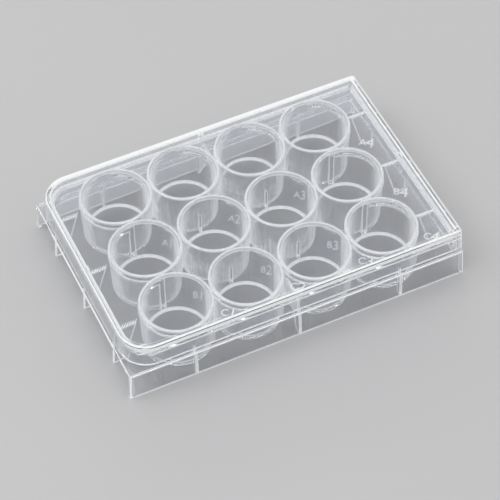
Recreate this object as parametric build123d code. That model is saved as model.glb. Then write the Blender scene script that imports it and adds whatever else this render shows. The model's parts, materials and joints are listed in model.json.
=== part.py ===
from build123d import *
import os
from math import radians, tan

# Multiwell plate with its loose lid, in millimetres.
# Origin: centre of the footprint, on the surface the plate stands on. +X runs
# along the long side towards the square corners, +Y towards the back row, +Z up.

# Footprint and walls of the plate
footprint_length = 127.76
footprint_width = 85.48
foot_corner = 0.6            # corner radius of the skirt
skirt_height = 11.2          # foot to the top of the ledge
wall = 1.2                   # skirt and ledge
upper_wall = 1.4             # thickness of the upper wall
ledge_step = 1.8             # how far the upper wall stands in from the skirt's face
draft = 3.0                  # lean of every outer wall, degrees
round_corner = 11.5          # left-hand corners of the upper wall and the lid
square_corner = 0.6          # right-hand corners of the upper wall and the lid

# Wells
rows = 3
columns = 4
side_margin = 3.84           # rims of the outer rows to the long edges of the foot
rim_gap = 0.2                # between neighbouring rims
tube_wall = 1.6              # wall of a tube at its rim
tube_taper = 1.3             # how much narrower a tube is at its foot
rim_top = 20.2
rim_rise = 1.5               # rims above the top edge of the upper wall
floor_top = 2.3
floor_thickness = 1.3

# Deck between the tubes and the walls, and the webs that join the tubes
deck_drop = 1.1              # top edge of the upper wall to the deck
deck_thickness = 1.2
outer_web = 1.5              # thickness of the webs round the outside of the wells
inner_web = 1.2              # thickness of the low webs between them
inner_web_top = 11.2
gusset = 1.2                 # thickness of every gusset
gusset_reach = 1.5           # deck-level gap between an end gusset and its tube
gusset_foot = 4.6            # width of an end gusset where it stands
side_reach = 4.0             # deck-level gap between a middle gusset and the outer web
side_foot = 2.6              # width of a long-side gusset where it stands

# Lid
lid_wall = 1.1
lid_clearance = 0.4          # all round, between the lid and the upper wall
lid_lift = 1.6               # ledge to the lower edge of the lid
lid_gap = 0.3                # rims to the underside of the lid
lid_plate = 1.1
ridge_width = 1.7            # stacking ridge round the top of the lid
ridge_height = 0.5
pip_depth = 1.0              # pips under the lid, across the wall they rest on
pip_length = 2.2             # and along it

lean = tan(radians(draft))
pitch = (footprint_width - 2 * side_margin + rim_gap) / rows
tube_mouth = pitch - rim_gap
tube_foot = tube_mouth - tube_taper
well = tube_mouth - 2 * tube_wall
wall_top = rim_top - rim_rise
deck_top = wall_top - deck_drop
deck_bottom = deck_top - deck_thickness
ledge_bottom = skirt_height - wall
lid_foot = skirt_height + lid_lift
lid_under = rim_top + lid_gap
lid_face = lid_under + lid_plate
lid_top = lid_face + ridge_height
lid_step = ledge_step - lid_clearance
tube_reach_x = (columns - 1) * pitch / 2
tube_reach_y = (rows - 1) * pitch / 2
well_places = GridLocations(pitch, pitch, columns, rows)


def inset(step, z):
    """Distance from the footprint to a leaning wall face at height z."""
    return step + z * lean


def plan(step, z, left, right):
    """Outline of a leaning wall at height z, with left and right corner radii."""
    length = footprint_length - 2 * inset(step, z)
    width = footprint_width - 2 * inset(step, z)
    outline = Rectangle(length, width)
    outline = fillet(outline.vertices().group_by(Axis.X)[0], left)
    outline = fillet(outline.vertices().group_by(Axis.X)[-1], right)
    return Pos(0, 0, z) * outline


def skirt_block(step, bottom, top):
    """Solid inside a skirt face, square at all four corners."""
    return loft([plan(step, z, foot_corner, foot_corner) for z in (bottom, top)], ruled=True)


def wall_block(step, bottom, top):
    """Solid inside an upper wall face: round left corners, square right ones."""
    sections = [
        plan(step, z, round_corner - inset(step, z), square_corner) for z in (bottom, top)
    ]
    return loft(sections, ruled=True)


def upright(outline, thickness):
    """Plate of the given thickness standing on an outline in the XZ plane."""
    face = Plane.XZ * Polygon(*outline, align=None)
    return extrude(face, thickness / 2, both=True)


def frame():
    """Skirt, ledge, upper wall and deck, open below and at the short sides."""
    body = skirt_block(0, 0, skirt_height)
    body += wall_block(ledge_step, ledge_bottom, wall_top)
    body -= skirt_block(wall, 0, ledge_bottom)
    body -= wall_block(ledge_step + upper_wall, ledge_bottom, deck_bottom)
    body -= wall_block(ledge_step + upper_wall, deck_top, wall_top)
    window_width = footprint_width - 2 * wall
    body -= Pos(0, 0, ledge_bottom / 2) * Box(
        footprint_length, window_width - 2 * inset(0, ledge_bottom), ledge_bottom
    )
    pockets = Pos(0, 0, deck_bottom) * extrude(
        Rectangle(2 * tube_reach_x, 2 * tube_reach_y), deck_thickness
    )
    return body - pockets


def tube():
    """One well's outer wall, tapering to its foot."""
    height = rim_top - floor_top + floor_thickness
    return Pos(0, 0, rim_top - height / 2) * Cone(tube_foot / 2, tube_mouth / 2, height)


def well_space():
    """The space inside one well."""
    depth = rim_top - floor_top
    return Pos(0, 0, rim_top - depth / 2) * Cylinder(well / 2, depth)


def web(along_x, outside):
    """Upright web across the gap between two tubes, from the floor sheet up."""
    thickness, top = (outer_web, deck_top) if outside else (inner_web, inner_web_top)
    reach = pitch - well
    bottom = floor_top - floor_thickness
    size = (reach, thickness) if along_x else (thickness, reach)
    return Pos(0, 0, (top + bottom) / 2) * Box(*size, top - bottom)


def webs():
    """Webs between all neighbouring tubes: high round the outside, low within."""
    pieces = []
    for place in GridLocations(pitch, pitch, columns - 1, rows):
        outside = abs(place.position.Y) > tube_reach_y - pitch / 2
        pieces.append(place * web(True, outside))
    for place in GridLocations(pitch, pitch, columns, rows - 1):
        outside = abs(place.position.X) > tube_reach_x - pitch / 2
        pieces.append(place * web(False, outside))
    return pieces


def pocket_floor():
    """Floor sheet that closes the spaces between four tubes."""
    return Pos(0, 0, floor_top - floor_thickness / 2) * Box(
        2 * tube_reach_x, 2 * tube_reach_y, floor_thickness
    )


def gusset_outline(half_size, start, foot):
    """Half section of a gusset: deck level, upper wall, ledge, skirt and foot."""
    wall_middle = ledge_step + upper_wall / 2
    skirt_face = half_size - wall / 2
    return [
        (start, deck_bottom + deck_thickness / 2),
        (half_size - inset(wall_middle, deck_bottom), deck_bottom + deck_thickness / 2),
        (half_size - inset(wall_middle, ledge_bottom), ledge_bottom + wall / 2),
        (skirt_face - ledge_bottom * lean, ledge_bottom + wall / 2),
        (skirt_face, 0),
        (skirt_face - foot, 0),
    ]


def end_gussets():
    """Gussets under the deck at both short sides, one for each row."""
    start = tube_reach_x + tube_mouth / 2 + gusset_reach
    plate = upright(gusset_outline(footprint_length / 2, start, gusset_foot), gusset)
    places = [Pos(0, y, 0) for y in (-tube_reach_y, 0, tube_reach_y)]
    return [place * half for place in places for half in (plate, mirror(plate, Plane.YZ))]


def side_gussets():
    """Gussets at both long sides: at the outer columns and in the middle."""
    half_size = footprint_width / 2
    by_tube = upright(gusset_outline(half_size, tube_reach_y + tube_foot / 2, side_foot), gusset)
    middle = upright(gusset_outline(half_size, tube_reach_y + side_reach, side_foot), gusset)
    quarter = Rot(0, 0, 90)
    fronts = [Pos(-tube_reach_x, 0, 0) * quarter * by_tube]
    fronts += [quarter * middle, Pos(tube_reach_x, 0, 0) * quarter * by_tube]
    return fronts + [mirror(piece, Plane.XZ) for piece in fronts]


def plate():
    """The whole plate, moulded in one piece."""
    body = frame() + pocket_floor()
    body += [place * tube() for place in well_places]
    body += webs() + end_gussets() + side_gussets()
    return body - [place * well_space() for place in well_places]


def lid():
    """The lid: a flat panel with a ridge, a leaning skirt and four resting pips."""
    body = wall_block(lid_step - lid_wall, lid_foot, lid_top)
    body -= wall_block(lid_step, lid_foot, lid_under)
    body -= wall_block(lid_step - lid_wall + ridge_width, lid_face, lid_top)
    wall_middle = inset(ledge_step, wall_top) + upper_wall / 2
    rest_x = footprint_length / 2 - wall_middle
    rest_y = footprint_width / 2 - wall_middle
    height = lid_under - wall_top + lid_plate / 2
    pip = Pos(0, 0, wall_top + height / 2) * Box(pip_depth, pip_length, height)
    body += [Pos(x, 0, 0) * pip for x in (-rest_x, rest_x)]
    body += [Pos(0, y, 0) * Rot(0, 0, 90) * pip for y in (-rest_y, rest_y)]
    return body


os.makedirs("parts", exist_ok=True)
export_step(plate(), "parts/plate.step")
export_step(lid(), "parts/lid.step")
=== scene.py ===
from contextlib import contextmanager
import json
import math

import bmesh
import bpy
from mathutils import Matrix, Vector

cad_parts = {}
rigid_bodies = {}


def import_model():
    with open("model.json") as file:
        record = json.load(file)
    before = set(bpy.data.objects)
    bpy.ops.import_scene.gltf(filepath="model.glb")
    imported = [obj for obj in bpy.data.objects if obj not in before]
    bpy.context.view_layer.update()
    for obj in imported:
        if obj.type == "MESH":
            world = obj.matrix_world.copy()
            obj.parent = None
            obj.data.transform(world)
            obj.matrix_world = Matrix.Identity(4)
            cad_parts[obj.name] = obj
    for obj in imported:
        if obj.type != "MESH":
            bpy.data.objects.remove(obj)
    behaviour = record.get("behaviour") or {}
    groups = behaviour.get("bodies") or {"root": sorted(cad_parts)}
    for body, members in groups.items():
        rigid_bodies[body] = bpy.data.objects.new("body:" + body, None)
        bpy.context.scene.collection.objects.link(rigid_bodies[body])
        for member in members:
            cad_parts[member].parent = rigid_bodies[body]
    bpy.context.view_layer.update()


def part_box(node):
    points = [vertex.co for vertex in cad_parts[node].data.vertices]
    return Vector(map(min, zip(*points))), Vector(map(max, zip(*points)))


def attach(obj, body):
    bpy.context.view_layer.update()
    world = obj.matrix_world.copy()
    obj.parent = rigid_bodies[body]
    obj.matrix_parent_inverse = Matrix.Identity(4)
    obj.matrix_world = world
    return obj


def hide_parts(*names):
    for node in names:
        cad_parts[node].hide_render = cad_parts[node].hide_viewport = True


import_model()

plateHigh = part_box("plate")[1]
lidLow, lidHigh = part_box("lid")
mm = 0.001               # sizes are millimetres and degrees unless said, meshes are metres
tiny = 1e-7              # metres: points nearer than this are one point
nearTop = 0.01           # what lies within this depth of a top belongs to it


def measured(length):
    # a length of the frame in millimetres
    return round(length / mm, 3)


def newObject(name, data):
    thing = bpy.data.objects.new(name, data)
    bpy.context.scene.collection.objects.link(thing)
    return thing


@contextmanager
def editing(mesh):
    build = bmesh.new()
    build.from_mesh(mesh)
    yield build
    build.to_mesh(mesh)
    build.free()


def softenEdges(build, edges, radius):
    bmesh.ops.bevel(build, geom=edges, offset=radius * mm, segments=2,
                    profile=0.5, affect="EDGES", clamp_overlap=True)


def meshFrom(name, points, faces):
    mesh = bpy.data.meshes.new(name)
    mesh.from_pydata([Vector(p) * mm for p in points], [], faces)
    with editing(mesh) as build:
        bmesh.ops.remove_doubles(build, verts=build.verts, dist=tiny)
        bmesh.ops.dissolve_degenerate(build, edges=build.edges, dist=tiny / 10)
        bmesh.ops.recalc_face_normals(build, faces=build.faces)
    return mesh


def roundedProfile(corners, steps):
    # corners are (across, height, radius, kind); each radius becomes an arc of short chords, which
    # takes up less than half of the side before it and of the side after it
    result = []
    count = len(corners)
    for i, (x, z, radius, kind) in enumerate(corners):
        here = Vector((x, z))
        before = Vector(corners[i - 1][:2]) - here
        after = Vector(corners[(i + 1) % count][:2]) - here
        half = before.angle(after) / 2 if radius else 0
        if not radius or half > math.radians(89):
            result.append((x, z, kind))
            continue
        reach = min(radius / math.tan(half), before.length * 0.49, after.length * 0.49)
        radius = reach * math.tan(half)
        before.normalize()
        after.normalize()
        centre = here + (before + after).normalized() * (radius / math.sin(half))
        start = here + before * reach - centre
        turn = start.angle_signed(here + after * reach - centre)
        for k in range(steps + 1):
            spoke = start.copy()
            spoke.rotate(Matrix.Rotation(-turn * k / steps, 2))
            result.append((*(centre + spoke), kind))
    return result


def lathe(name, profile, segments):
    # profile is (radius, height); a radius of 0 closes the form on its axis
    points, rows, faces = [], [], []
    for radius, height in profile:
        if not radius:
            rows.append([len(points)] * segments)
            points.append((0, 0, height))
            continue
        rows.append(range(len(points), len(points) + segments))
        angles = [2 * math.pi * k / segments for k in range(segments)]
        points += [(radius * math.cos(a), radius * math.sin(a), height) for a in angles]
    for low, high in zip(rows, rows[1:]):
        for k in range(segments):
            n = (k + 1) % segments
            faces.append(list(dict.fromkeys([low[k], low[n], high[n], high[k]])))
    return meshFrom(name, points, faces)


def slab(name, first, second):
    # the closed body between two outlines with as many points each
    count = len(first)
    faces = [list(range(count)), list(range(2 * count - 1, count - 1, -1))]
    faces += [[k, (k + 1) % count, count + (k + 1) % count, count + k] for k in range(count)]
    return meshFrom(name, [*first, *second], faces)


def prism(name, outline, thickness, edge):
    # outline is (x, z) points; the plate stands on the XZ plane and is centred on it
    near, far = ([(x, side * thickness / 2, z) for x, z in outline] for side in (-1, 1))
    mesh = slab(name, near, far)
    with editing(mesh) as build:
        softenEdges(build, list(build.edges), edge)
    return mesh


def block(name, size, middle, edge):
    half = size[0] / 2
    low, high = middle[2] - size[2] / 2, middle[2] + size[2] / 2
    mesh = prism(name, [(-half, low), (half, low), (half, high), (-half, high)], size[1], edge)
    mesh.transform(Matrix.Translation(Vector((middle[0], middle[1], 0)) * mm))
    return mesh


def bake(piece):
    # the evaluated shape becomes the piece's own mesh and its modifiers go
    graph = bpy.context.evaluated_depsgraph_get()
    shaped = bpy.data.meshes.new_from_object(piece.evaluated_get(graph), depsgraph=graph)
    shaped.name = piece.name
    piece.modifiers.clear()
    piece.data = shaped


edgeLook = {
    "turn": (3, 50),     # an edge of a small radius turns this much between its two faces
    "fine": 9,           # below this turn, a face may be only as wide as fineRadius makes it
    "fineRadius": 1.0,
    "longest": 1.3,      # the edge is the face's longest side, within this factor
    "flat": 32,          # faces that turn less than this are shaded as one
    "flatWeight": 60,    # how strongly the large flat faces set the shading of the small ones
}


def markEdges(piece, widest, look):
    # faces of small radii and the narrow faces between them go to the last material, a painted highlight
    last = len(piece.data.materials) - 1
    least, most, fine = (math.radians(a) for a in (*look["turn"], look["fine"]))
    with editing(piece.data) as build:
        for edge in build.edges:
            turn = edge.calc_face_angle() if len(edge.link_faces) == 2 else 0
            if not least < turn < most:
                continue
            reach = widest if turn > fine else look["fineRadius"] * turn * edge.is_convex
            length = edge.calc_length()
            for face in edge.link_faces:
                alongside = max(side.calc_length() for side in face.edges) < look["longest"] * length
                if alongside and face.calc_area() < length * reach * mm:
                    face.material_index = last


def smoothFinish(piece, look):
    # flat faces stay flat and the small radii between them stay round
    mesh = piece.data
    mesh.polygons.foreach_set("use_smooth", [True] * len(mesh.polygons))
    mesh.set_sharp_from_angle(angle=math.radians(look["flat"]))
    weighted = piece.modifiers.new("weightedNormals", "WEIGHTED_NORMAL")
    weighted.keep_sharp = True
    weighted.weight = look["flatWeight"]
    bake(piece)


def dress(piece, *finishes):
    piece.data.materials.clear()
    for finish in finishes:
        piece.data.materials.append(finish)


class GeoTree:
    # a geometry node tree with named inputs
    def __init__(self, name, inputs):
        self.tree = bpy.data.node_groups.new(name, "GeometryNodeTree")
        sockets = self.tree.interface
        sockets.new_socket("Geometry", in_out="INPUT", socket_type="NodeSocketGeometry")
        sockets.new_socket("Geometry", in_out="OUTPUT", socket_type="NodeSocketGeometry")
        self.ids = {}
        for label, kind in inputs.items():
            made = sockets.new_socket(label, in_out="INPUT", socket_type="NodeSocket" + kind)
            self.ids[label] = made.identifier
        self.given = self.tree.nodes.new("NodeGroupInput").outputs
        self.result = self.tree.nodes.new("NodeGroupOutput").inputs["Geometry"]

    def add(self, kind, settings, values, out=0):
        node = self.tree.nodes.new(kind)
        for key, value in settings.items():
            setattr(node, key, value)
        for key, value in values.items():
            for one in value if isinstance(value, list) else [value]:
                if isinstance(one, bpy.types.NodeSocket):
                    self.tree.links.new(one, node.inputs[key])
                else:
                    node.inputs[key].default_value = one
        return node.outputs[out]

    def maths(self, operation, a, b=0.0):
        return self.add("ShaderNodeMath", {"operation": operation}, {0: a, 1: b})

    def show(self, geometry):
        self.tree.links.new(geometry, self.result)

    def use(self, piece, values):
        modifier = piece.modifiers.new(self.tree.name, "NODES")
        modifier.node_group = self.tree
        for label, value in values.items():
            modifier[self.ids[label]] = value
        bake(piece)


class Value:
    # a shader socket that takes part in sums
    def __init__(self, finish, socket):
        self.finish, self.socket = finish, socket

    def maths(self, operation, *others):
        return self.finish.maths(operation, self, *others)

    def __add__(self, other):
        return self.maths("ADD", other)

    def __sub__(self, other):
        return self.maths("SUBTRACT", other)

    def __rsub__(self, other):
        return self.finish.maths("SUBTRACT", other, self)

    def __mul__(self, other):
        return self.maths("MULTIPLY", other)

    __radd__ = __add__
    __rmul__ = __mul__

    def between(self, low, high, top=1.0):
        # 0 below low, top above high, smooth between them
        settings = {"interpolation_type": "SMOOTHSTEP"}
        given = {"Value": self, "From Min": low, "From Max": high, "To Min": 0.0, "To Max": top}
        return self.finish.add("ShaderNodeMapRange", settings, given)


class Finish:
    # the nodes that make one material or the world
    def __init__(self, owner, output="ShaderNodeOutputMaterial"):
        self.owner = owner
        owner.use_nodes = True
        self.nodes, self.links = owner.node_tree.nodes, owner.node_tree.links
        self.nodes.clear()
        self.output = self.nodes.new(output)

    def add(self, kind, settings, values, out=0):
        node = self.nodes.new(kind)
        for key, value in settings.items():
            setattr(node, key, value)
        for key, value in values.items():
            if isinstance(value, Value):
                self.links.new(value.socket, node.inputs[key])
            else:
                node.inputs[key].default_value = value
        return Value(self, node.outputs[out])

    def maths(self, operation, *values):
        return self.add("ShaderNodeMath", {"operation": operation}, dict(enumerate(values)))

    def mixColour(self, factor, a, b):
        given = {0: factor, 6: a, 7: b}
        return self.add("ShaderNodeMix", {"data_type": "RGBA"}, given, out=2)

    def noise(self, vector, scale, detail):
        return self.add("ShaderNodeTexNoise", {}, {"Vector": vector, "Scale": scale, "Detail": detail})

    def onPiece(self, kind="Object"):
        return self.add("ShaderNodeTexCoord", {}, {}, out=kind)

    def facing(self):
        # 0 where the surface is seen square on, 1 where it is seen along itself
        return self.add("ShaderNodeLayerWeight", {}, {"Blend": 0.5}, out="Facing")

    def along(self, vector, axis):
        return self.add("ShaderNodeSeparateXYZ", {}, {"Vector": vector}, out=axis)

    def show(self, shader):
        self.links.new(shader.socket, self.output.inputs["Surface"])
        return self.owner


print("helpers ready")


finishLook = {
    "tint": (0.92, 0.93, 0.95, 1), "index": 1.59,
    # the pale skin's colours: white under a painted sheen alone, edgeWhite under its painted glow; white is
    # also the glow's colour
    "white": (0.95, 0.96, 0.97, 1), "edgeWhite": (0.64, 0.65, 0.66, 1),
    "cloud": (120.0, 3.0), "fine": (900.0, 2.0),       # scale and detail of each noise
    "leastRoughness": 0.004, "cloudRoughness": (0.45, 0.8, 0.012), "paleRoughness": 0.25,
    "bump": 0.02, "bumpDepth": 0.3,
    "sheen": (0.8, 1.0, 0.35),             # painted sheen: from and to which facing, and how much
    "speckle": (0.2, 0.8, 0.2), "leastSpeckle": 0.9,
    "edge": 0.92, "label": 0.95,           # how much of an edge or a raised label is pale skin, a painted highlight
    "paintedGlow": 0.36,                         # the pale skin's emission, a painted glow, though the moulding is no lamp
}


def clearPlastic(name, look, paintedHighlight=0.0, paintedGlow=True, marks=None, markLook=None):
    # polished clear moulding mixed with a pale skin that is painted light: a painted sheen where the surface
    # is seen along itself, a painted highlight of a set share everywhere, what marks adds for one moulding,
    # and a painted glow from the skin's emission
    finish = Finish(bpy.data.materials.new(name))
    place = finish.onPiece()
    cloud = finish.noise(place, *look["cloud"])
    roughness = cloud.between(*look["cloudRoughness"]) + look["leastRoughness"]
    bump = finish.add("ShaderNodeBump", {}, {
        "Strength": look["bump"], "Distance": look["bumpDepth"] * mm, "Height": cloud})
    plastic = finish.add("ShaderNodeBsdfPrincipled", {}, {
        "Base Color": look["tint"], "Roughness": roughness, "Transmission Weight": 1.0,
        "IOR": look["index"], "Normal": bump})
    # the pale skin is painted light, lit by its own emission as a painted glow unless that is turned off
    pale = finish.add("ShaderNodeBsdfPrincipled", {}, {
        "Base Color": look["edgeWhite"] if paintedGlow else look["white"],
        "Roughness": look["paleRoughness"], "IOR": look["index"],
        "Emission Color": look["white"], "Emission Strength": look["paintedGlow"] if paintedGlow else 0.0})
    # painted sheen where the surface is seen along itself
    share = finish.facing().between(*look["sheen"])
    if marks:
        share = marks(finish, share, markLook)
    if paintedHighlight:
        # the painted highlight varies at random with a fine noise
        speckle = look["leastSpeckle"] + finish.noise(place, *look["fine"]).between(*look["speckle"])
        share = share + paintedHighlight * speckle * (1.0 - share)
    return finish.show(finish.add("ShaderNodeMixShader", {}, {0: share, 1: plastic, 2: pale}))


plateSize = {
    "halfLength": measured(plateHigh.x), "halfWidth": measured(plateHigh.y),
    "rimTop": measured(plateHigh.z), "rows": 3, "columns": 4, "pitch": 26.0,
    "footCorner": 0.6, "roundCorner": 11.5, "squareCorner": 0.6,
    "holeCorner": 1.5,       # the deck has one large hole, which the well block fills
    "skirtHeight": 11.2, "skirt": 1.2, "wall": 1.4, "ledgeStep": 1.8, "lean": math.tan(math.radians(3.0)),
    "rimRise": 1.5, "deckDrop": 1.1, "deck": 1.2,
    "rimGap": 0.2, "tubeTaper": 1.3, "tubeFillet": 0.9, "rimRadius": 0.35,
    "wellMouth": 22.9, "wellFloor": 22.1, "wellFillet": 0.9,
    "flareWidth": 0.6, "flareDepth": 0.8, "flareRadius": 0.4,
    "collar": 0.22, "collarIn": 0.5, "collarSunk": 0.03,     # collarIn lies inside the tube's wall
    "floorTop": 2.3, "floor": 1.3, "sheetStep": 0.05,        # the sheet starts above the tubes' feet
    "web": 1.5, "webDrop": 0.05, "webCorner": 48.0, "webSlope": 0.6,
    "lowWeb": 0.9, "lowWebTop": 11.2, "lowCorner": 45.0, "lowSlope": 0.15,
    "webEdge": 0.25, "webTail": 0.5,                         # webTail: how far a web runs into a tube
    "gusset": 1.2, "gussetReach": 1.5, "gussetFoot": 4.6, "sideReach": 4.0, "sideFoot": 2.6,
    "gussetDrop": 0.06,      # how far a gusset's top lies below the deck
    "nicks": 6, "nickStep": 1.0, "nickLength": 2.1, "nickWidth": 0.4, "nickTurn": 48.0,
    "barWidth": 1.05, "raised": 0.1, "raisedEdge": 0.05,     # nicks and bars stand on the deck
    "edge": 0.25, "fineEdge": 0.15, "gussetEdge": 0.5,
    "sunk": 0.1,             # how far added forms reach into what carries them
    "cutEdge": 0.02, "windowGap": 0.17, "pocketMargin": 0.3,
    "past": 1.0,             # how far a cutter runs on beyond what it cuts
    "narrow": 1.05,          # faces under this width take the painted edge highlight
    "segments": 144, "ringSteps": 16, "sideSteps": 6, "frameArc": 4, "tubeArc": 5, "wellArc": 6,
}


def addDerived(size):
    # heights and reaches that follow from the driving sizes
    size["wallTop"] = size["rimTop"] - size["rimRise"]
    size["deckTop"] = size["wallTop"] - size["deckDrop"]
    size["deckBottom"] = size["deckTop"] - size["deck"]
    size["ledgeBottom"] = size["skirtHeight"] - size["skirt"]
    size["tubeBottom"] = size["floorTop"] - size["floor"]
    size["sheetBottom"] = size["tubeBottom"] + size["sheetStep"]
    size["tubeMouth"] = size["pitch"] - size["rimGap"]
    size["tubeFoot"] = size["tubeMouth"] - size["tubeTaper"]
    size["reachX"], size["reachY"] = ((size[count] - 1) * size["pitch"] / 2 for count in ("columns", "rows"))
    size["tubeEnd"] = size["reachX"] + size["tubeMouth"] / 2


addDerived(plateSize)


def cornerRing(halfX, halfY, leftRadius, rightRadius, height, size):
    # one closed ring, anticlockwise from the right-hand side, with an arc at each corner
    arcs = []
    for quarter, (sx, sy) in enumerate(((1, 1), (-1, 1), (-1, -1), (1, -1))):
        radius = rightRadius if sx > 0 else leftRadius
        centre = Vector((sx * (halfX - radius), sy * (halfY - radius), height))
        angles = [math.pi / 2 * (quarter + k / size["ringSteps"]) for k in range(size["ringSteps"] + 1)]
        arcs.append([centre + Vector((math.cos(a), math.sin(a), 0)) * radius for a in angles])
    ring = []
    for arc, after in zip(arcs, [*arcs[1:], arcs[0]]):
        ring += arc
        ring += [arc[-1].lerp(after[0], k / size["sideSteps"]) for k in range(1, size["sideSteps"])]
    return ring


def ringAt(size, inset, height, kind):
    # skirts are square at all corners, walls round at the left, and the hole is the well block's
    if kind == "hole":
        corner = size["holeCorner"]
        return cornerRing(size["reachX"], size["reachY"], corner, corner, height, size)
    halfX, halfY = size["halfLength"] - inset, size["halfWidth"] - inset
    left = size["footCorner"] if kind == "skirt" else size["roundCorner"] - inset
    right = size["footCorner"] if kind == "skirt" else size["squareCorner"]
    return cornerRing(halfX, halfY, left, right, height, size)


def ringShell(name, rings, closed):
    # joins the rings in order; an open pile is capped at both ends
    count = len(rings[0])
    points = [p for ring in rings for p in ring]
    pairs = list(zip(range(len(rings)), range(1, len(rings))))
    if closed:
        pairs.append((len(rings) - 1, 0))
    faces = []
    for a, b in pairs:
        for k in range(count):
            n = (k + 1) % count
            faces.append([a * count + k, a * count + n, b * count + n, b * count + k])
    if not closed:
        faces.append(list(range(count)))
        faces.append([(len(rings) - 1) * count + k for k in range(count)])
    return meshFrom(name, points, faces)


def frameShell(size):
    # skirt, ledge, upper wall and margin deck, swept round the plate
    def corner(step, height, edge, kind):
        return step + height * size["lean"], height, edge, kind

    edge, fineEdge, step = size["edge"], size["fineEdge"], size["ledgeStep"]
    inner, middle = step + size["wall"], size["halfWidth"]
    ledge, wallTop = size["skirtHeight"], size["wallTop"]
    deckTop, deckBottom, under = size["deckTop"], size["deckBottom"], size["ledgeBottom"]
    corners = [
        corner(0, 0, edge, "skirt"), corner(0, ledge, edge, "skirt"),
        corner(step, ledge, edge, "wall"), corner(step, wallTop, edge, "wall"),
        corner(inner, wallTop, edge, "wall"), corner(inner, deckTop, edge, "wall"),
        (middle, deckTop, 0, "hole"), (middle, deckBottom, 0, "hole"),
        corner(inner, deckBottom, edge, "wall"), corner(inner, under, fineEdge, "wall"),
        corner(size["skirt"], under, fineEdge, "skirt"), corner(size["skirt"], 0, edge, "skirt"),
    ]
    profile = roundedProfile(corners, size["frameArc"])
    return ringShell("frameShell", [ringAt(size, *row) for row in profile], closed=True)


def tubeRadius(size, height):
    part = (height - size["tubeBottom"]) / (size["rimTop"] - size["tubeBottom"])
    return (size["tubeFoot"] + size["tubeTaper"] * part) / 2


def turned(name, corners, steps, size):
    # corners are (radius, height, rounding)
    profile = roundedProfile([(*corner, "") for corner in corners], steps)
    return lathe(name, [row[:2] for row in profile], size["segments"])


def tubeMesh(size):
    low, high = size["tubeBottom"], size["rimTop"]
    corners = [(0, low, 0), (size["tubeFoot"] / 2, low, size["tubeFillet"]),
               (size["tubeMouth"] / 2, high, size["rimRadius"]), (0, high, 0)]
    return turned("tube", corners, size["tubeArc"], size)


def wellSpaceMesh(size):
    # the space inside a well, flaring at the rim so that the rim comes out round
    mouth, foot, rim = size["wellMouth"] / 2, size["wellFloor"] / 2, size["rimTop"]
    wide, above = mouth + size["flareWidth"], rim + size["past"]
    corners = [(0, size["floorTop"], 0), (foot, size["floorTop"], size["wellFillet"]),
               (mouth, rim - size["flareDepth"], size["flareRadius"]),
               (wide, rim, 0), (wide, above, 0), (0, above, 0)]
    return turned("wellSpace", corners, size["wellArc"], size)


def collarMesh(size):
    # the small slopes where the deck runs into a tube, above and below, each sunk a little at its ends
    low, high, wide, sunk = size["deckBottom"], size["deckTop"], size["collar"], size["collarSunk"]
    tall = 2 * wide
    profile = [(size["wellMouth"] / 2 + size["collarIn"], (low + high) / 2),
               (tubeRadius(size, low - tall) - sunk, low - tall),
               (tubeRadius(size, low) + wide, low + sunk), (tubeRadius(size, high) + wide, high - sunk),
               (tubeRadius(size, high + tall) - sunk, high + tall)]
    return lathe("collar", [*profile, profile[0]], size["segments"])


def webMesh(size, thickness, top, corner, part):
    # a web between two leaning tube walls, with a slope where it runs into each: corner is how far
    # the slope turns away from the web, and part is its length as a share of the gap
    half, turn = thickness / 2, math.radians(corner)

    def outline(height):
        gap = size["pitch"] / 2 - tubeRadius(size, height)
        slope = part * gap + size["sunk"]
        start, end = gap - slope * math.cos(turn), gap + slope * math.cos(turn)
        edge = [(start, half), (end, half + 2 * slope * math.sin(turn)), (end + size["webTail"], half)]
        edge += [(x, -y) for x, y in reversed(edge)]
        return [(x, y, height) for x, y in [*edge, *[(-x, -y) for x, y in edge]]]

    mesh = slab("web", outline(size["sheetBottom"]), outline(top))
    with editing(mesh) as build:
        ridge = [e for e in build.edges if all(v.co.z > (top - nearTop) * mm for v in e.verts)
                 and abs(e.verts[0].co.y - e.verts[1].co.y) < tiny]
        softenEdges(build, ridge, size["webEdge"])
    return mesh


def gussetMesh(name, size, halfSize, start, foot):
    # one gusset, from the deck down the upper wall and the skirt to the foot
    lean, middle = size["lean"], size["ledgeStep"] + size["wall"] / 2
    deck = size["deckTop"] - size["gussetDrop"]
    ledge = (size["skirtHeight"] + size["ledgeBottom"]) / 2
    face = halfSize - size["skirt"] / 2
    outline = [(start, deck), (halfSize - middle - deck * lean, deck),
               (halfSize - middle - ledge * lean, ledge), (face - ledge * lean, ledge),
               (face, 0), (face - foot, 0)]
    return prism(name, outline, size["gusset"], size["gussetEdge"])


def raisedMesh(name, size, length, width, middle):
    # a low form that stands on the deck, over a gusset
    low, high = size["deckTop"] - size["sunk"], size["deckTop"] + size["raised"]
    return block(name, (length, width, high - low), (middle, 0, (low + high) / 2), size["raisedEdge"])


def nickMesh(size):
    # one of the slanting nicks across the top of an end gusset
    mesh = raisedMesh("nick", size, size["nickLength"], size["nickWidth"], 0)
    mesh.transform(Matrix.Rotation(math.radians(size["nickTurn"]), 4, "Z"))
    return mesh


def barMesh(size):
    # the raised top of a gusset at the square-cornered end, from a tube to the wall
    start, inset = size["tubeEnd"], size["ledgeStep"] + size["wall"] + size["deckTop"] * size["lean"]
    end = size["halfLength"] - inset + size["sunk"]
    return raisedMesh("bar", size, end - start, size["barWidth"], (start + end) / 2)


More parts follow.
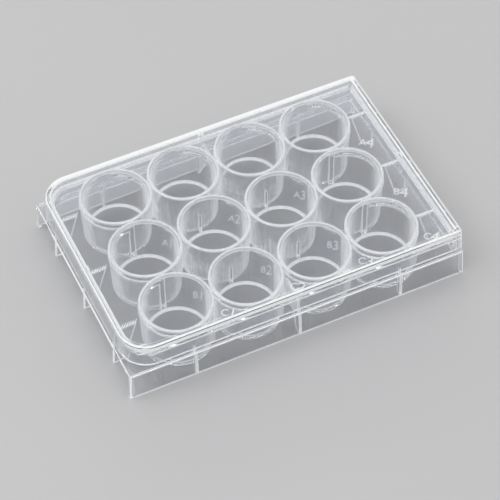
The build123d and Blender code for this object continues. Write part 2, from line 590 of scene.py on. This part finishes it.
def plateMasters(size):
    # the forms that the node tree repeats, each modelled once at its own origin
    reachX, reachY, past, margin = size["reachX"], size["reachY"], size["past"], size["pocketMargin"]
    length, width = size["halfLength"], size["halfWidth"]
    under, low = size["ledgeBottom"], size["sheetBottom"]
    sheet = (2 * reachX, 2 * reachY, size["floorTop"] - low)
    pocket = (2 * reachX + margin, 2 * reachY + margin, 2 * size["rimTop"])
    opening = 2 * (width - size["skirt"] - under * size["lean"] - size["windowGap"])
    window = (2 * length + 4 * past, opening, under + past)
    return {
        "Tube": tubeMesh(size),
        "Well Space": wellSpaceMesh(size),
        "Collar": collarMesh(size),
        "Sheet": block("sheet", sheet, (0, 0, (size["floorTop"] + low) / 2), size["cutEdge"]),
        "Pocket": block("pocket", pocket, (0, 0, 0), size["cutEdge"]),
        "Window": block("window", window, (0, 0, (under - past) / 2), size["cutEdge"]),
        "Web": webMesh(size, size["web"], size["deckTop"] - size["webDrop"],
                       size["webCorner"], size["webSlope"]),
        "Low Web": webMesh(size, size["lowWeb"], size["lowWebTop"], size["lowCorner"], size["lowSlope"]),
        "Nick": nickMesh(size),
        "Bar": barMesh(size),
        "End Gusset": gussetMesh("endGusset", size, length, size["tubeEnd"] + size["gussetReach"],
                                 size["gussetFoot"]),
        "Side Gusset": gussetMesh("sideGusset", size, width, reachY + size["tubeFoot"] / 2,
                                  size["sideFoot"]),
        "Middle Gusset": gussetMesh("middleGusset", size, width, reachY + size["sideReach"],
                                    size["sideFoot"]),
    }


def plateTree(masters):
    inputs = {label: "Object" for label in masters}
    inputs.update({"Pitch": "Float", "Columns": "Int", "Rows": "Int", "Plastic": "Material",
                   "Nicks": "Int", "Nick Start": "Float", "Nick Step": "Float"})
    tree = GeoTree("multiwellPlate", inputs)
    given, add, maths = tree.given, tree.add, tree.maths
    pitch, columns, rows = given["Pitch"], given["Columns"], given["Rows"]
    quarter, half = math.pi / 2, math.pi
    nearEdge = 0.45          # points past this share of the span are on the outline of the well block

    def form(label):
        settings = {"transform_space": "ORIGINAL"}
        return add("GeometryNodeObjectInfo", settings, {"Object": given[label]}, out="Geometry")

    def span(count):
        # from the first to the last of so many wells in line
        return maths("MULTIPLY", pitch, maths("SUBTRACT", count, 1.0))

    def grid(countX, countY):
        values = {"Size X": span(countX), "Size Y": span(countY), "Vertices X": countX, "Vertices Y": countY}
        return add("GeometryNodeMeshGrid", {}, values)

    def line(count, axis, start, step):
        first, offset = (add("ShaderNodeCombineXYZ", {}, {axis: value}) for value in (start, step))
        return add("GeometryNodeMeshLine", {}, {"Count": count, "Start Location": first, "Offset": offset})

    def outside(axis, count):
        place = add("GeometryNodeInputPosition", {}, {})
        along = maths("ABSOLUTE", add("ShaderNodeSeparateXYZ", {}, {0: place}, out=axis))
        return maths("GREATER_THAN", along, maths("MULTIPLY", span(count), nearEdge))

    def inside(axis, count):
        return maths("SUBTRACT", 1.0, outside(axis, count))

    def repeat(points, label, turn=0.0, chosen=True):
        shape = form(label) if isinstance(label, str) else label
        values = {"Points": points, "Instance": shape, "Rotation": (0.0, 0.0, turn), "Selection": chosen}
        made = add("GeometryNodeInstanceOnPoints", {}, values)
        return add("GeometryNodeRealizeInstances", {}, {"Geometry": made})

    def cut(body, cutter):
        settings = {"operation": "DIFFERENCE", "solver": "MANIFOLD"}
        return add("GeometryNodeMeshBoolean", settings, {"Mesh 1": body, "Mesh 2": cutter})

    wells = grid(columns, rows)
    betweenColumns = grid(maths("SUBTRACT", columns, 1.0), rows)
    betweenRows = grid(columns, maths("SUBTRACT", rows, 1.0))
    centre = add("GeometryNodePoints", {}, {"Count": 1})
    middleColumn = line(rows, "Y", maths("MULTIPLY", span(rows), -0.5), pitch)
    outerColumns = line(2, "X", maths("MULTIPLY", span(columns), -0.5), span(columns))
    nicks = repeat(line(given["Nicks"], "X", given["Nick Start"], given["Nick Step"]), "Nick")
    added = [
        form("Sheet"), repeat(wells, "Tube"),
        repeat(betweenColumns, "Web", 0.0, outside("Y", rows)),
        repeat(betweenRows, "Web", quarter, outside("X", columns)),
        repeat(betweenColumns, "Low Web", 0.0, inside("Y", rows)),
        repeat(betweenRows, "Low Web", quarter, inside("X", columns)),
        repeat(middleColumn, "End Gusset"), repeat(middleColumn, "End Gusset", half),
        repeat(middleColumn, nicks, half), repeat(middleColumn, "Bar"),
        repeat(outerColumns, "Side Gusset", quarter), repeat(outerColumns, "Side Gusset", -quarter),
        repeat(centre, "Middle Gusset", quarter), repeat(centre, "Middle Gusset", -quarter),
        cut(repeat(wells, "Collar"), form("Pocket")),
    ]
    joined = cut(given["Geometry"], form("Window"))
    for piece in added:
        joined = add("GeometryNodeMeshBoolean", {"operation": "UNION", "solver": "MANIFOLD"},
                     {"Mesh 2": [joined, piece]})
    whole = cut(joined, repeat(wells, "Well Space"))
    whole = add("GeometryNodeRealizeInstances", {}, {"Geometry": whole})
    tree.show(add("GeometryNodeSetMaterial", {}, {"Geometry": whole, "Material": given["Plastic"]}))
    return tree


tubeLook = {
    "pitch": plateSize["pitch"], "shiftX": plateSize["columns"] / 2 % 1, "shiftY": plateSize["rows"] / 2 % 1,
    "blockX": (52.2, 52.6), "blockY": (38.6, 38.9),    # where the well block ends
    # painted sheen at the tubes' silhouettes
    "sheen": (0.45, 0.8, 0.6),
    "upright": (0.1, 0.3),                 # how far a wall's normal may turn up or down
    # upright marks of the moulding and a faint even wash, drawn in glowing pale skin: painted light
    "drawn": (1400.0, 2.0), "drawnLength": 0.03, "streaks": (0.45, 0.75, 0.1), "haze": 0.01,
    # the tubes' milky look is painted glow: pale skin lit by its own emission
    "skin": (11.6, 12.0), "front": (0.0, 0.15),        # the milky skin lies outside these radii,
    "fade": (8.0, 22.0),                   # fades between these heights, and is at its full
    "frontRow": (-30.0, -26.0, 0.7), "leastRow": 0.3,  # strength only behind the front row
    "endColumns": (25.0, 28.0, 0.55),      # and between the end columns
    "milk": 0.65, "cloud": finishLook["cloud"],
    "drawnMottle": (0.3, 0.7, 0.3), "cloudMottle": (0.42, 0.6, 0.45), "leastMottle": 0.25,
    # painted highlight on the rims
    "rimBand": (19.1, 19.5, 0.5),
}


def paintedSkinGlow(x, y, z, look):
    # painted glow on the front of each tube's outer skin, strongest towards the foot;
    # away is the place within one pitch, counted from the well's axis
    awayX, awayY = ((along * (1 / look["pitch"]) + shift).maths("FRACT") - 0.5
                    for along, shift in ((x, look["shiftX"]), (y, look["shiftY"])))
    radii = ((radius / look["pitch"]) ** 2 for radius in look["skin"])
    skin = (awayX * awayX + awayY * awayY).between(*radii)
    skin = skin * (0.0 - awayY).between(*look["front"]) * (1.0 - z.between(*look["fade"]))
    skin = skin * (y.between(*look["frontRow"]) + look["leastRow"])
    return skin * (1.0 - x.maths("ABSOLUTE").between(*look["endColumns"]))


def tubePaintedLight(finish, share, look):
    # what the tubes add, all painted light of the glowing pale skin: a painted sheen at their silhouettes,
    # fine upright marks of the moulding drawn as glowing lines, a painted glow on the skin and a painted
    # highlight on the rim
    place = finish.onPiece()
    x, y, z = (finish.along(place, axis) * (1 / mm) for axis in "XYZ")
    inX, inY = (1.0 - along.maths("ABSOLUTE").between(*look[key])
                for along, key in ((x, "blockX"), (y, "blockY")))
    block = inX * inY
    normal = finish.along(finish.onPiece("Normal"), "Z").maths("ABSOLUTE")
    upright = 1.0 - normal.between(*look["upright"])
    drawn = finish.add("ShaderNodeMapping", {}, {"Vector": place, "Scale": (1.0, 1.0, look["drawnLength"])})
    marks, cloud = finish.noise(drawn, *look["drawn"]), finish.noise(place, *look["cloud"])
    mottle = marks.between(*look["drawnMottle"]) + cloud.between(*look["cloudMottle"]) + look["leastMottle"]
    share = share + block * finish.facing().between(*look["sheen"])
    share = share + upright * (marks.between(*look["streaks"]) + look["haze"])
    share = share + block * upright * paintedSkinGlow(x, y, z, look) * mottle * look["milk"]
    return share + block * z.between(*look["rimBand"])


def makePlate(size):
    masters = {label: newObject("form_" + label.replace(" ", ""), mesh)
               for label, mesh in plateMasters(size).items()}
    plate = newObject("plate_moulding", frameShell(size))
    nickStart = size["tubeEnd"] + size["gussetReach"] + size["nickStep"] / 2
    # the plate's clear plastic carries the tubes' painted sheen, glowing lines, painted glow and rim
    # highlight
    clear = clearPlastic("plateClear", finishLook, marks=tubePaintedLight, markLook=tubeLook)
    plateTree(masters).use(plate, {
        **masters, "Pitch": size["pitch"] * mm, "Columns": size["columns"], "Rows": size["rows"],
        "Nicks": size["nicks"], "Nick Step": size["nickStep"] * mm, "Nick Start": nickStart * mm,
        "Plastic": clear})
    for form in masters.values():
        bpy.data.objects.remove(form)
    smoothFinish(plate, edgeLook)
    return plate


plate = makePlate(plateSize)
# the plate's second material is the painted highlight on its edges
dress(plate, plate.data.materials[-1], clearPlastic("plateEdge", finishLook, finishLook["edge"]))
markEdges(plate, plateSize["narrow"], edgeLook)
print("plate", len(plate.data.polygons), "faces")


lidSize = {
    "foot": measured(lidLow.z), "top": measured(lidHigh.z), "ridgeHeight": 0.5, "panel": 1.1,
    "outerStep": 0.3, "wall": 1.1, "ridge": 1.7, "edge": 0.25, "topEdge": 0.45, "arc": 7,
    "narrow": 1.25,          # faces under this width take the painted edge highlight
    "capReach": 4.0,         # the flat panel is one face from this far inside the ridge
    "pipDepth": 1.0, "pipLength": 2.2, "pipEdge": 0.3,
}
lidSize["face"] = lidSize["top"] - lidSize["ridgeHeight"]
lidSize["under"] = lidSize["face"] - lidSize["panel"]


wallLook = {
    # painted light on the lid's long walls
    "longWall": (37.0, 39.5), "ridgeTop": (21.7, 22.0),      # the lid's long sides and the ridge on them
    "rise": (17.2, 18.4), "lines": 2.9, "glow": 0.85,        # lines: how close the fine lines stand
}


def paintedWallLines(finish, share, look):
    # painted light on the lid's long sides: glowing fine level lines above the deck, and an even painted
    # highlight on the back ridge
    y, z = (finish.along(finish.onPiece(), axis) * (1 / mm) for axis in "YZ")
    lines = ((z + y) * look["lines"]).maths("SINE") * 0.5 + 0.5
    walls = y.maths("ABSOLUTE").between(*look["longWall"])
    # painted highlight on the back ridge only, the side the light comes from
    ridge = y.between(*look["longWall"]) * z.between(*look["ridgeTop"])
    paintedBand = z.between(*look["rise"]) * walls * (lines * lines * (1.0 - ridge) + ridge)
    return share + paintedBand * look["glow"] * (1.0 - share)


def markWalls(piece, size):
    # faces that look outwards and the top of the ridge take the second material, which paints light on them
    for face in piece.data.polygons:
        out = face.normal.xy.dot(face.center.xy)
        onRidge = face.center.z > (size["top"] - nearTop) * mm
        face.material_index = int(out > 0.5 * face.center.xy.length or onRidge)


def makePips(size, plateSize):
    # the four small pips that rest on the middle of each wall's top
    low, high = plateSize["wallTop"], (size["under"] + size["face"]) / 2
    inset = plateSize["ledgeStep"] + low * plateSize["lean"] + plateSize["wall"] / 2
    restX, restY = plateSize["halfLength"] - inset, plateSize["halfWidth"] - inset
    depth, length = size["pipDepth"], size["pipLength"]
    pips = newObject("form_pips", bpy.data.meshes.new("pips"))
    with editing(pips.data) as build:
        for x, y in ((-restX, 0), (restX, 0), (0, -restY), (0, restY)):
            across = (depth, length) if x else (length, depth)
            middle = (x, y, (low + high) / 2)
            build.from_mesh(block("pip", (*across, high - low), middle, size["pipEdge"]))
    return pips


def makeLid(size, plateSize):
    def corner(step, height, edge):
        return step + height * plateSize["lean"], height, edge, "wall"

    outer, inner = size["outerStep"], size["outerStep"] + size["wall"]
    ridgeIn = outer + size["ridge"]
    foot, under, face, top, edge = (size[key] for key in ("foot", "under", "face", "top", "edge"))
    cap = ridgeIn + size["capReach"]
    corners = [
        (cap, face, 0, "wall"),
        corner(ridgeIn, face, edge), corner(ridgeIn, top, edge), corner(outer, top, size["topEdge"]),
        corner(outer, foot, edge), corner(inner, foot, edge), corner(inner, under, edge),
        (cap, under, 0, "wall"),
    ]
    rings = [ringAt(plateSize, *row) for row in roundedProfile(corners, size["arc"])]
    lid = newObject("lid_moulding", ringShell("lid", rings, closed=False))
    pips = makePips(size, plateSize)
    join = lid.modifiers.new("pips", "BOOLEAN")
    join.operation, join.solver, join.object = "UNION", "MANIFOLD", pips
    bake(lid)
    bpy.data.objects.remove(pips)
    smoothFinish(lid, edgeLook)
    return lid


lid = makeLid(lidSize, plateSize)
# the lid's materials: clear with painted sheen, walls with painted glow, edges with painted highlight
dress(lid, clearPlastic("lidClear", finishLook, paintedGlow=False),
      clearPlastic("lidWall", finishLook, marks=paintedWallLines, markLook=wallLook),
      clearPlastic("lidEdge", finishLook, finishLook["edge"]))
markWalls(lid, lidSize)
markEdges(lid, lidSize["narrow"], edgeLook)
print("lid", len(lid.data.polygons), "faces")


labelSize = {
    "letter": 4.2, "digit": 6.2, "gap": 2.7, "turn": -35.0,      # gap: letter to digit, centre to centre
    "relief": 0.15, "sunk": 0.02, "curve": 4,
    "pocketX": 1.6, "pocketY": -0.8,         # from the middle of the space between four wells
    "lastColumn": 14.0, "frontRow": -10.5,   # from the well itself, where no such space is
}


def glyph(text, height, x, y, size):
    curve = bpy.data.curves.new("glyph", "FONT")
    curve.body = text
    curve.size = height * mm
    curve.extrude = size["relief"] * mm / 2
    curve.align_x = "CENTER"
    curve.align_y = "CENTER"
    curve.resolution_u = size["curve"]
    thing = newObject("glyph", curve)
    bpy.context.view_layer.update()
    graph = bpy.context.evaluated_depsgraph_get()
    mesh = bpy.data.meshes.new_from_object(thing.evaluated_get(graph))
    bpy.data.objects.remove(thing)
    turn = Matrix.Rotation(math.radians(size["turn"]), 4, "Z")
    mesh.transform(Matrix.Translation(Vector((x, y, 0)) * mm) @ turn)
    return mesh


def makeLabels(size, plateSize):
    # each well's letter and digit stand in front and to the right of it
    pitch, rows, columns = plateSize["pitch"], plateSize["rows"], plateSize["columns"]
    lift = size["relief"] / 2 - size["sunk"]
    step = Vector((size["gap"] / 2, 0))
    step.rotate(Matrix.Rotation(math.radians(size["turn"]), 2))
    mesh = bpy.data.meshes.new("labels")
    with editing(mesh) as build:
        for row in range(rows):
            for column in range(columns):
                inX, inY = column < columns - 1, row < rows - 1
                x = column * pitch - plateSize["reachX"]
                y = plateSize["reachY"] - row * pitch
                x += pitch / 2 + size["pocketX"] if inX else size["lastColumn"]
                y += size["pocketY"] - pitch / 2 if inY else size["frontRow"]
                base = plateSize["floorTop"] if inX and inY else plateSize["deckTop"]
                for text, kind, side in (("ABC"[row], "letter", -1), (str(column + 1), "digit", 1)):
                    sign = glyph(text, size[kind], x + step.x * side, y + step.y * side, size)
                    sign.transform(Matrix.Translation((0, 0, (base + lift) * mm)))
                    build.from_mesh(sign)
                    bpy.data.meshes.remove(sign)
        bmesh.ops.remove_doubles(build, verts=build.verts, dist=tiny)
        bmesh.ops.recalc_face_normals(build, faces=build.faces)
    return newObject("plate_labels", mesh)


labels = makeLabels(labelSize, plateSize)
# the labels are painted highlight: pale skin that glows
dress(labels, clearPlastic("labelEdge", finishLook, finishLook["label"]))
print("labels", len(labels.data.polygons), "faces")


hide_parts("plate")
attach(plate, "root")
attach(labels, "root")
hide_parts("lid")
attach(lid, "root")
print("pieces placed")


stageLook = {             # lengths in metres, lamp power in watts
    "floorSide": 12.0, "drop": 0.0001, "floorGrey": 0.56, "floorCloud": 6.0, "floorRoughness": 0.6,
    "backGrey": 0.95, "fill": 0.55,
    "lamps": {
        "softTop": {"place": (-0.4, -0.2, 2.0), "size": (2.4, 2.4), "power": 20.0},
        "softLeft": {"place": (-1.6, 0.5, 1.9), "size": (1.8, 1.2), "power": 7.0},
        "softBack": {"place": (0.2, 1.8, 0.9), "size": (1.8, 0.5), "power": 2.6},
    },
}


def makeFloor(look):
    half = look["floorSide"] / 2
    corners = [(x * half, y * half, -look["drop"]) for x, y in ((-1, -1), (1, -1), (1, 1), (-1, 1))]
    mesh = bpy.data.meshes.new("floor")
    mesh.from_pydata(corners, [], [(0, 1, 2, 3)])
    finish = Finish(bpy.data.materials.new("paleFloor"))
    cloud = finish.noise(finish.onPiece(), look["floorCloud"], 2.0)
    grey = look["floorGrey"]
    cool, dim = (grey, grey, grey * 1.01, 1), (grey * 0.985, grey * 0.985, grey, 1)
    colour = finish.mixColour(cloud.between(0.3, 0.7), cool, dim)
    paper = {"Base Color": colour, "Roughness": look["floorRoughness"]}
    mesh.materials.append(finish.show(finish.add("ShaderNodeBsdfPrincipled", {}, paper)))
    newObject("floor", mesh)


def makeWorld(look):
    # a soft fill lights the object, and a pale backdrop is what is seen, mirrored and seen through
    world = Finish(bpy.data.worlds.new("studio"), "ShaderNodeOutputWorld")
    seen, mirrored, through = (world.add("ShaderNodeLightPath", {}, {}, out=f"Is {ray} Ray")
                               for ray in ("Camera", "Glossy", "Transmission"))
    either = seen.maths("MAXIMUM", mirrored).maths("MAXIMUM", through)
    grey = look["backGrey"]
    fill = world.add("ShaderNodeBackground", {}, {"Color": (1, 1, 1, 1), "Strength": look["fill"]})
    backdrop = world.add("ShaderNodeBackground", {}, {"Color": (grey, grey, grey, 1)})
    mixed = world.add("ShaderNodeMixShader", {}, {0: either, 1: fill, 2: backdrop})
    bpy.context.scene.world = world.show(mixed)


def softbox(name, place, size, power):
    light = bpy.data.lights.new(name, "AREA")
    light.shape = "RECTANGLE"
    light.size, light.size_y = size
    light.energy = power
    lamp = newObject(name, light)
    lamp.location = place
    lamp.rotation_mode = "QUATERNION"
    lamp.rotation_quaternion = (-Vector(place)).to_track_quat("-Z", "Y")


makeFloor(stageLook)
makeWorld(stageLook)
for name, lamp in stageLook["lamps"].items():
    softbox(name, **lamp)


cameraFit = {
    "azimuth": -25.078, "elevation": 50.656, "roll": -0.378,
    "distance": 744.42, "aimHeight": 21.0,
    "aimRight": 0.82, "aimUp": -14.06,       # the aim's place beside the middle, as the camera sees it
    "lens": 153.767, "sensor": 36.0, "nearest": 10.0, "farthest": 50000.0,
}


def makeCamera(fit):
    azimuth, elevation, roll = (math.radians(fit[key]) for key in ("azimuth", "elevation", "roll"))
    back = Vector((math.sin(azimuth) * math.cos(elevation), -math.cos(azimuth) * math.cos(elevation),
                   math.sin(elevation)))
    right = Vector((math.cos(azimuth), math.sin(azimuth), 0))
    up = back.cross(right)
    right, up = (math.cos(roll) * right + math.sin(roll) * up, math.cos(roll) * up - math.sin(roll) * right)
    aim = Vector((0, 0, fit["aimHeight"])) + right * fit["aimRight"] + up * fit["aimUp"]
    data = bpy.data.cameras.new("camera")
    data.sensor_width = fit["sensor"]
    data.lens = fit["lens"]
    data.clip_start, data.clip_end = fit["nearest"] * mm, fit["farthest"] * mm
    camera = newObject("camera", data)
    camera.rotation_mode = "QUATERNION"
    camera.rotation_quaternion = Matrix((right, up, back)).transposed().to_quaternion()
    camera.location = (aim + back * fit["distance"]) * mm
    bpy.context.scene.camera = camera


makeCamera(cameraFit)
scene = bpy.context.scene
scene.view_settings.view_transform = "Standard"
scene.cycles.max_bounces = 32            # enough to see through both mouldings from any side
scene.cycles.transmission_bounces = 32
scene.cycles.transparent_max_bounces = 48
scene.cycles.glossy_bounces = 32
print("stage set")
